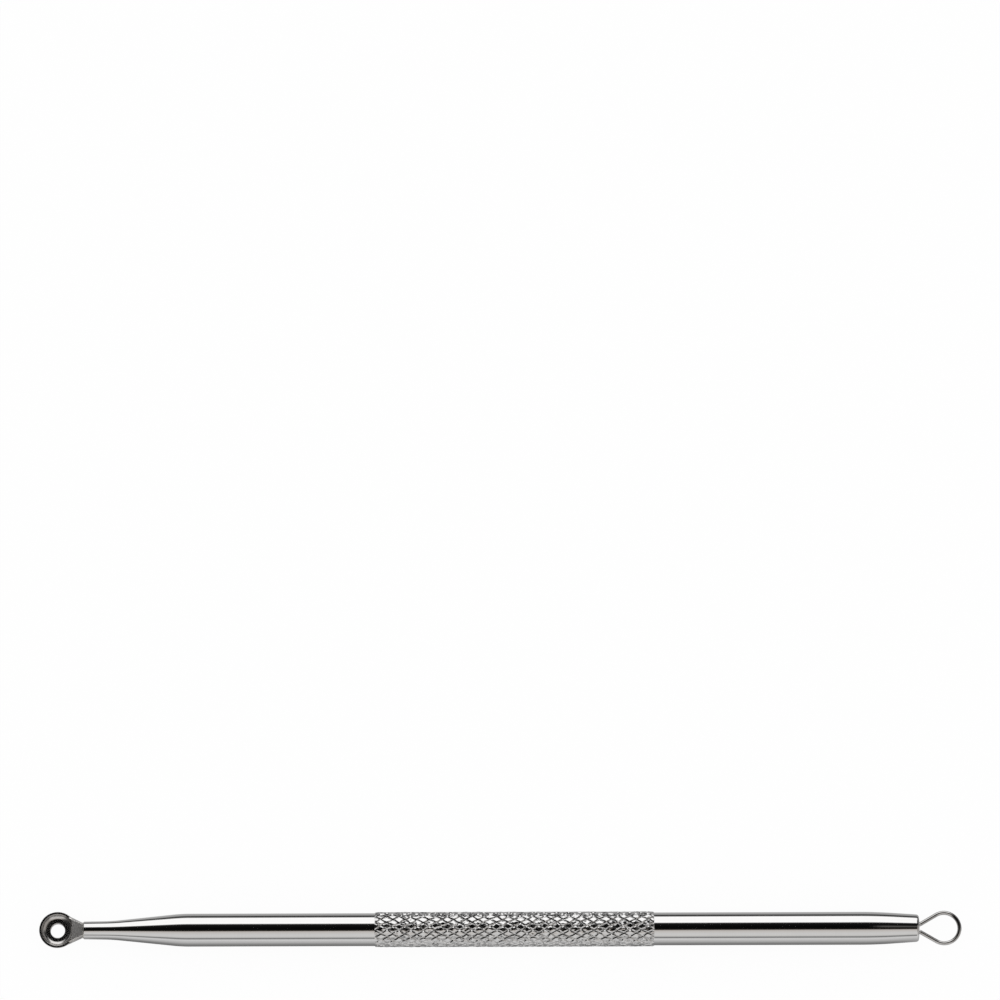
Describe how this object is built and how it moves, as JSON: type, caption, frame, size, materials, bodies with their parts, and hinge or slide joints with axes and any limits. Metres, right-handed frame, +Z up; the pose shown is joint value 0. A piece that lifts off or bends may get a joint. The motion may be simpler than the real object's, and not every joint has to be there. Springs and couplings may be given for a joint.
{
  "type": "blackhead extractor",
  "caption": "Slim round steel hand tool with a diamond-knurled grip, a small holed spoon at one end and a teardrop wire loop at the other.",
  "frame": {"origin": "on the surface that the tool lies on, under the middle of its overall length", "axes": "+X from the spoon to the wire loop along the bar, +Z up out of the open bowl, +Y across"},
  "size_m": [0.1124, 0.0044, 0.0043],
  "materials": {
    "bar_steel": "polished",
    "spoon_steel": "polished",
    "spring_wire": "polished",
    "silver_solder": "satin"
  },
  "bodies": {
    "root": {"handle_bar": "bar_steel", "spoon": "spoon_steel", "spoon_solder": "silver_solder", "wire_loop": "spring_wire", "loop_solder": "silver_solder"}
  },
  "joints": []
}
